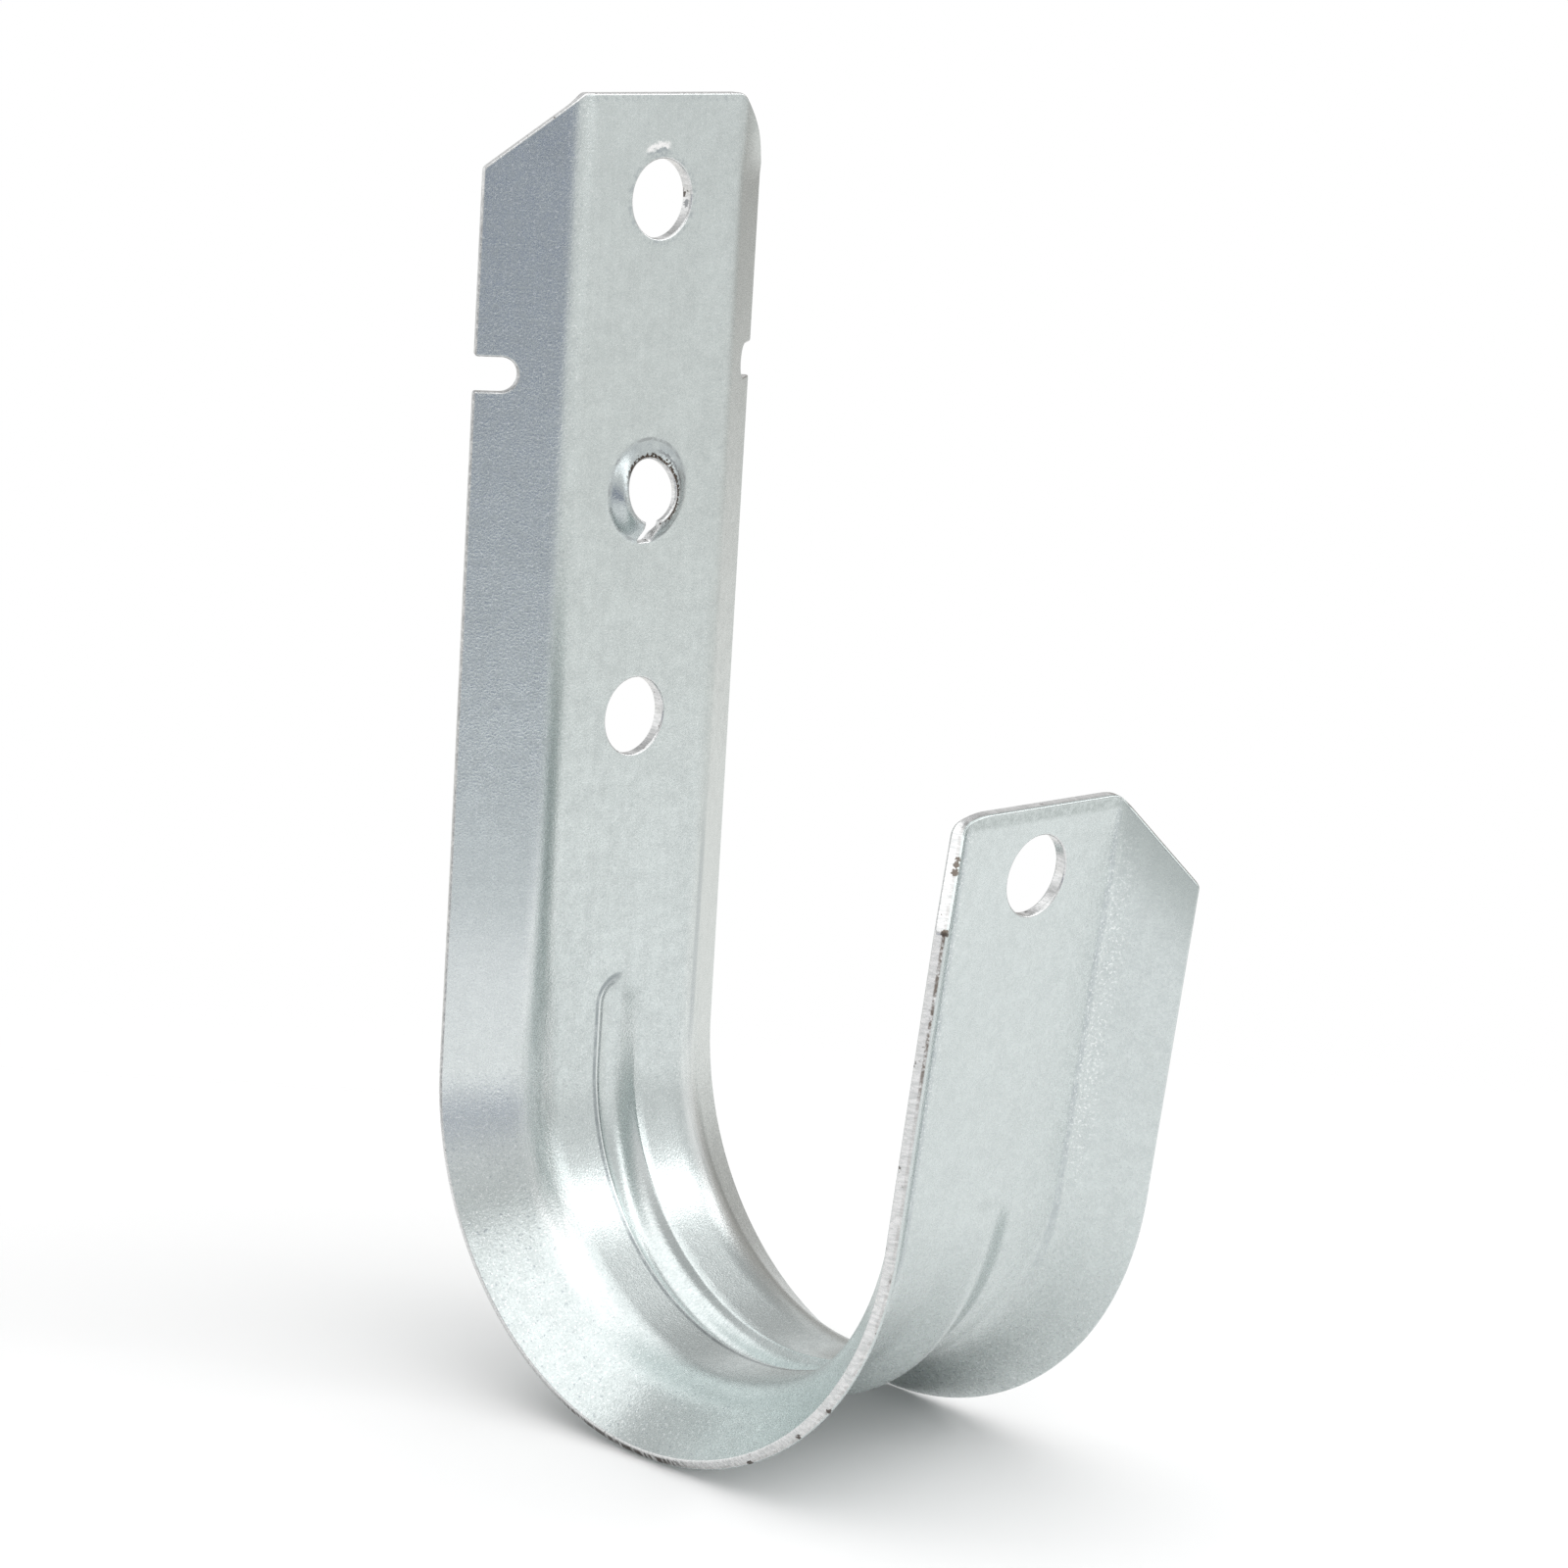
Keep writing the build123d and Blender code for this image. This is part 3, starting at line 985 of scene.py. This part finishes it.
def bead_shade_and_highlight(n, tone):
    """Painted shade as dark lines in the creases of the bead on its left, a painted highlight line between
    them, and painted shade at its tip.
    """
    past = n.most(n.minus(BEAD_START, n.along), 0.0)
    reach = n.math("SQRT", n.plus(n.times(n.across, n.across), n.times(past, past)))
    # Painted shade: dark lines in the creases on the bead's left
    on_left = n.times(n.ramp(n.across, *CREASE_ACROSS), n.fall(n.along, *CREASE_END), n.seat_side)
    crease = n.plus(n.band(reach, *CREASE_OUTER_BAND), n.band(reach, *CREASE_INNER_BAND), clamp=True)
    broken = n.ramp(n.mottle, *CREASE_LEVELS, *CREASE_BROKEN)
    tone = n.mix(n.times(crease, on_left, broken, CREASE_STRENGTH), tone, CREASE_SHADE)
    # Painted highlight: a pale line between the creases
    highlight_line = n.times(n.band(reach, *HIGHLIGHT_LINE_BAND), on_left, HIGHLIGHT_LINE_STRENGTH)
    tone = n.mix(highlight_line, tone, FLECK_AND_HIGHLIGHT)
    # Painted shade at the bead's tip
    tip = n.times(n.band(reach, *TIP_BAND), n.ramp(past, *TIP_PAST), n.ramp(n.across, *TIP_ACROSS))
    return n.mix(n.times(tip, n.seat_side, TIP_STRENGTH), tone, CREASE_SHADE)


def screw_marks_and_shade(n, tone):
    """Darker over the ring of the screw impression, thin dark lines of painted shade at its foot and on its
    right, and a jagged burr at its rim.
    """
    reach = n.reach_from(SCREW_AT)
    jag = n.over_flat(JAG_NOISE)
    ring_dark = n.times(n.ramp(reach, *RING_DARK_REACH), n.ramp(n.mottle, *MIDDLE, *RING_DARK_STRENGTH))
    tone = n.mix(ring_dark, tone, PIT_AND_SHADE)
    # Painted shade at the foot of the ring
    foot = n.times(n.band(reach, *FOOT_BAND), n.ramp(n.mottle, *FOOT_LEVELS), FOOT_STRENGTH)
    tone = n.mix(foot, tone, PIT_DARK_AND_SHADE)
    # Painted shade: a dark line on the ring's right side
    rim_reach = n.plus(reach, n.ramp(jag, *MIDDLE, *RIM_LINE_JAG))
    rim_line = n.times(n.band(rim_reach, *RIM_LINE_BAND), n.ramp(n.across, *RIM_LINE_ACROSS))
    tone = n.mix(n.times(rim_line, RIM_LINE_STRENGTH), tone, PIT_DARK_AND_SHADE)
    upper = n.ramp(n.minus(n.along, n.across), *BURR_UPPER, *BURR_UPPER_STRENGTH)
    burr_reach = n.plus(reach, n.ramp(jag, *WIDE, *BURR_JAG))
    burr = n.times(n.fall(burr_reach, *BURR_REACH), upper, n.ramp(n.depth, *BURR_DEPTH, *BURR_DEPTH_STRENGTH))
    return n.mix(burr, tone, SPECK)


def punch_marks_and_shade(n, tone):
    """Mark of the punch above the upper hole, dirt at the top of the strip, darker along the end of the lip,
    and painted shade round that hole.
    """
    reach = n.reach_from(UPPER_HOLE_AT)
    wander = n.plus(reach, n.ramp(n.torn, *MIDDLE, *PUNCH_WANDER))
    above = n.times(n.seat_side, n.ramp(n.along, *PUNCH_ALONG), n.window(n.across, *PUNCH_ACROSS))
    arc = n.times(n.band(wander, *ARC_BAND), above, n.ramp(n.mottle, *ARC_LEVELS, *ARC_STRENGTH))
    tone = n.mix(arc, tone, PUNCHED_AND_HIGHLIGHT)
    under = n.times(n.band(wander, *UNDER_BAND), above, n.ramp(n.mottle, *UNDER_LEVELS, *UNDER_STRENGTH))
    tone = n.mix(under, tone, PIT_AND_SHADE)
    top = n.times(n.band(n.along, *TOP_DIRT_BAND), n.ramp(n.torn, *TOP_DIRT_LEVELS), n.seat_side)
    tone = n.mix(n.times(top, TOP_DIRT_STRENGTH), tone, PIT_AND_SHADE)
    # Darker along the end of the lip, broken by noise
    lip = n.times(n.band(n.along, *LIP_END_DARK_BAND), n.ramp(n.torn, *LIP_END_DARK_LEVELS, *LIP_END_DARK_STRENGTH))
    tone = n.mix(n.times(lip, n.back_side), tone, SHADE)
    # Painted shade of the rollover round the upper hole, broken into specks
    hole = n.times(n.band(reach, *HOLE_SHADE_BAND), n.ramp(n.torn, *HOLE_SHADE_LEVELS), HOLE_SHADE_STRENGTH)
    return n.mix(hole, tone, PIT_AND_SHADE)


def cut_edge(n, tone):
    """Colour of the cut edges: bright where they were sheared, dark where they tore, with dirt and specks."""
    bright = n.mix(n.ramp(n.over_flat(SHEAR_NOISE), *MIDDLE), EDGE_DARK, EDGE_PALE)
    on_lip = n.times(n.ramp(n.along, *TEAR_FROM), n.fall(n.along, *TEAR_TO, TEAR_LEAST))
    tear = n.times(n.band(n.depth, *TEAR_BAND), n.rim, n.ramp(n.torn, *TEAR_LEVELS))
    bright = n.mix(n.times(tear, n.most(on_lip, TEAR_LEAST)), bright, TORN)
    left = n.times(n.ramp(n.across, *LEFT_EDGE), n.rim)
    dirt = n.times(n.window(n.along, *SIDE_DIRT_ALONG), left)
    dirt = n.times(dirt, n.ramp(n.torn, *SIDE_DIRT_LEVELS, *SIDE_DIRT_STRENGTH))
    bright = n.mix(dirt, bright, PIT_DARK_AND_SHADE)
    dashes = n.times(n.ramp(n.over_flat(DASH_NOISE), *DASH_LEVELS), n.window(n.along, *DASH_ALONG), left)
    bright = n.mix(n.times(dashes, n.ramp(n.depth, *DASH_DEPTH)), bright, SPECK)
    bright = n.mix(n.ramp(n.over_flat(SPECK_NOISE), *SPECK_LEVELS), bright, SPECK)
    return n.mix(n.times(n.ramp(n.depth, *COATED_DEPTH), n.rim), bright, tone)


def dark_spots(n, surface):
    """Small dark spots at chosen places."""
    jag = n.ramp(n.grain, *MIDDLE, *SPOT_JAG)
    for u, s, d, size, colour in SPOTS:
        reach = n.plus(n.vector("DISTANCE", n.flat, (u, s, d), "Value"), jag)
        surface = n.mix(n.ramp(reach, SPOT_CORE * size, size, SPOT_STRENGTH, 0.0), surface, colour)
    return surface


def zinc_material():
    """Matt zinc coat with fine grain on the faces, and bright sheared steel on the cut edges."""
    mat = bpy.data.materials.new("zinc_sheet")
    mat.use_nodes = True
    n = SheetNodes(mat.node_tree)
    tone, height, stirred = zinc_coat(n)
    # Marks, painted highlights and painted shade laid over the coat
    for marks in (lip_flecks_and_shade, bend_highlights_and_shade, bead_shade_and_highlight, screw_marks_and_shade, punch_marks_and_shade):
        tone = marks(n, tone)
    surface = dark_spots(n, n.mix(n.edge, tone, cut_edge(n, tone)))
    rough = n.ramp(n.mottle, *WIDE, *ROUGH_MOTTLE)
    rough = n.plus(rough, n.ramp(n.grain, *ROUGH_GRAIN_LEVELS, *ROUGH_GRAIN))
    bump = n.add("ShaderNodeBump")
    n.feed(bump.inputs["Strength"], stirred)
    n.feed(bump.inputs["Distance"], BUMP)
    n.feed(bump.inputs["Height"], height)
    shader = mat.node_tree.nodes["Principled BSDF"]
    n.feed(shader.inputs["Metallic"], 1.0)
    n.feed(shader.inputs["Base Color"], surface)
    n.feed(shader.inputs["Roughness"], rough)
    n.feed(shader.inputs["Normal"], bump.outputs[0])
    return mat


def floor_material():
    """Pale floor that fades out into the white background."""
    mat = bpy.data.materials.new("floor")
    mat.use_nodes = True
    n = Nodes(mat.node_tree)
    shader = n.tree.nodes["Principled BSDF"]
    n.feed(shader.inputs["Base Color"], FLOOR_COLOUR)
    n.feed(shader.inputs["Roughness"], FLOOR_ROUGH)
    n.feed(shader.inputs["Specular IOR Level"], 0.0)
    spot = n.add("ShaderNodeTexCoord").outputs["Object"]
    size = n.add("ShaderNodeVectorMath", operation="LENGTH")
    n.feed(size.inputs[0], spot)
    back = n.vector("DOT_PRODUCT", spot, BACK_WAY, "Value")
    fade = n.most(n.ramp(size.outputs["Value"], *FLOOR_FADE), n.ramp(back, *FLOOR_BACK_FADE))
    mix = n.add("ShaderNodeMixShader")
    n.feed(mix.inputs[0], fade)
    n.feed(mix.inputs[1], shader.outputs[0])
    n.feed(mix.inputs[2], n.add("ShaderNodeBsdfTransparent").outputs[0])
    n.feed(n.tree.nodes["Material Output"].inputs["Surface"], mix.outputs[0])
    return mat


def make_floor():
    """Round floor just below the hook."""
    reach = FLOOR_FADE[1]
    turns = [2 * math.pi * k / FLOOR_SIDES for k in range(FLOOR_SIDES)]
    rim = [(reach * math.cos(t), reach * math.sin(t), 0.0) for t in turns]
    mesh = bpy.data.meshes.new("floor")
    mesh.from_pydata(rim, [], [tuple(range(FLOOR_SIDES))])
    floor = bpy.data.objects.new("floor", mesh)
    floor.location = (0.0, FLOOR_MIDDLE_Y, cad_box[0].z - FLOOR_GAP)
    floor.data.materials.append(floor_material())
    bpy.context.scene.collection.objects.link(floor)


def make_lamps():
    """Rectangular lamps, each of a given radiance."""
    for name, spot, aim, size, radiance in LAMPS:
        data = bpy.data.lights.new(name, "AREA")
        data.shape = "RECTANGLE"
        data.size, data.size_y = size
        data.energy = radiance * math.pi * size[0] * size[1]
        lamp = bpy.data.objects.new(name, data)
        bpy.context.scene.collection.objects.link(lamp)
        lamp.location = spot
        way = Vector(aim) - Vector(spot)
        lamp.rotation_euler = way.to_track_quat("-Z", "Y").to_euler()


def make_world():
    """Pale studio with a warm wall, a bright wall and a dim corner, and white behind the object."""
    world = bpy.data.worlds.new("studio")
    bpy.context.scene.world = world
    world.use_nodes = True
    n = Nodes(world.node_tree)
    way = n.add("ShaderNodeTexCoord").outputs["Generated"]

    def towards(direction):
        return n.vector("DOT_PRODUCT", way, direction, "Value")

    # Walls, ground and dim corner
    rise = towards(UP)
    walls = n.mix(n.ramp(towards(WARM_WAY), *WARM_SPREAD), PALE, WARM)
    walls = n.mix(n.ramp(towards(BRIGHT_WAY), *BRIGHT_SPREAD), walls, BRIGHT)
    walls = n.mix(n.ramp(rise, *GROUND_RISE), GROUND, walls)
    corner = n.times(n.ramp(towards(DIM_WAY), *DIM_SPREAD), n.window(rise, *DIM_RISE))
    walls = n.mix(corner, walls, DIM)

    # Dimmer overhead, and dark underneath except behind the object
    upward = n.fall(rise, *OVERHEAD_RISE, OVERHEAD)
    downward = n.most(n.ramp(rise, *UNDER_RISE, UNDER, 1.0), n.ramp(towards(BEHIND_WAY), *UNDER_BEHIND))
    studio = n.scaled(walls, n.times(upward, downward))

    # White for the camera, and for mirrored and refracted rays that reach the backdrop
    path = n.add("ShaderNodeLightPath")
    behind = n.times(n.ramp(towards(BACK_WAY), *BACKDROP_SPREAD), n.ramp(rise, *BACKDROP_RISE))
    mirrored = n.most(path.outputs["Is Glossy Ray"], path.outputs["Is Transmission Ray"])
    shown = n.most(path.outputs["Is Camera Ray"], n.times(mirrored, behind))
    n.feed(n.tree.nodes["Background"].inputs["Color"], n.mix(shown, studio, WHITE))


def make_camera():
    """Camera that sees the hook as the photograph does."""
    data = bpy.data.cameras.new("camera")
    data.sensor_width = CAMERA_SENSOR
    data.lens = CAMERA_LENS
    data.clip_start = CAMERA_NEAR
    camera = bpy.data.objects.new("camera", data)
    bpy.context.scene.collection.objects.link(camera)
    turn = Euler([math.radians(angle) for angle in CAMERA_TURN])
    camera.matrix_world = Matrix.LocRotScale(Vector(CAMERA_PLACE), turn, None)
    bpy.context.scene.camera = camera


hook = bpy.data.objects.new("hook", hook_mesh())
bpy.context.scene.collection.objects.link(hook)
hook.data.materials.append(zinc_material())
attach(hook, "root")
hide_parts("j_hook")

make_floor()
make_world()
make_lamps()
make_camera()
bpy.context.scene.view_settings.view_transform = "Standard"
